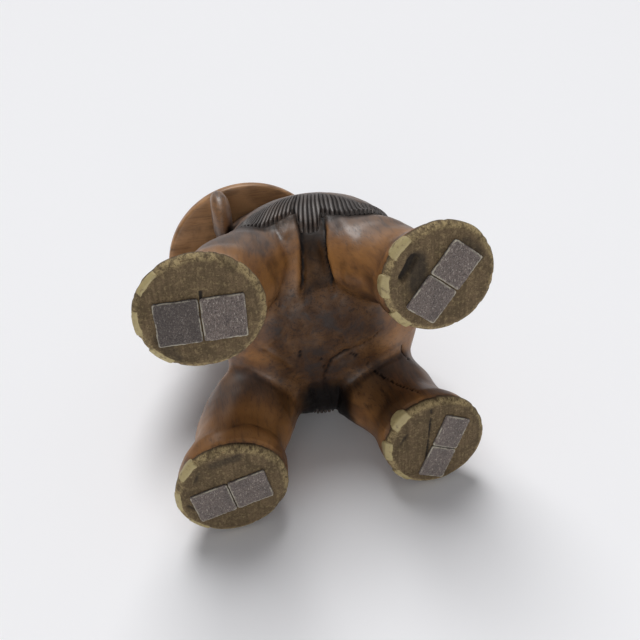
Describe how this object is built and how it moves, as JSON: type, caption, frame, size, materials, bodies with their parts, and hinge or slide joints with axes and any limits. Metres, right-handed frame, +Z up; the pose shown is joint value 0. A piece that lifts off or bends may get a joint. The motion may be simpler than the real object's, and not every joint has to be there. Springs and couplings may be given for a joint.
{
  "type": "stool",
  "caption": "wooden stool carved as a stocky elephant on four leaning legs with a round seat over its saddled back, inlaid pale toenails and tusks, and felt under the feet",
  "frame": {"origin": "on the floor, under the middle of the whole stool's footprint box", "axes": "+X is the way the elephant faces, +Y its left side, +Z up; the stool stands on its felt pads"},
  "size_m": [0.3688, 0.3212, 0.386],
  "materials": {
    "carved_wood": "dark stained hardwood, waxed semi-gloss, near black in the carved hollows",
    "seat_wood": "stained hardwood, waxed",
    "dowel_wood": "plain unfinished hardwood",
    "pale_inlay": "pale cream close-grained wood, sanded",
    "eye_bead": "black polished hardwood",
    "felt": "grey-mauve heathered wool felt"
  },
  "bodies": {
    "root": {"body": "carved_wood", "seat": "seat_wood", "seat_dowels": "dowel_wood", "toenail_front_left_1": "pale_inlay", "toenail_front_left_2": "pale_inlay", "toenail_front_left_3": "pale_inlay", "toenail_front_right_1": "pale_inlay", "toenail_front_right_2": "pale_inlay", "toenail_front_right_3": "pale_inlay", "toenail_rear_left_1": "pale_inlay", "toenail_rear_left_2": "pale_inlay", "toenail_rear_left_3": "pale_inlay", "toenail_rear_right_1": "pale_inlay", "toenail_rear_right_2": "pale_inlay", "toenail_rear_right_3": "pale_inlay", "felt_pad_front_left_a": "felt", "felt_pad_front_left_b": "felt", "felt_pad_front_right_a": "felt", "felt_pad_front_right_b": "felt", "felt_pad_rear_left_a": "felt", "felt_pad_rear_left_b": "felt", "felt_pad_rear_right_a": "felt", "felt_pad_rear_right_b": "felt", "tusk_left": "pale_inlay", "tusk_right": "pale_inlay", "eye_left": "eye_bead", "eye_right": "eye_bead"}
  },
  "joints": []
}
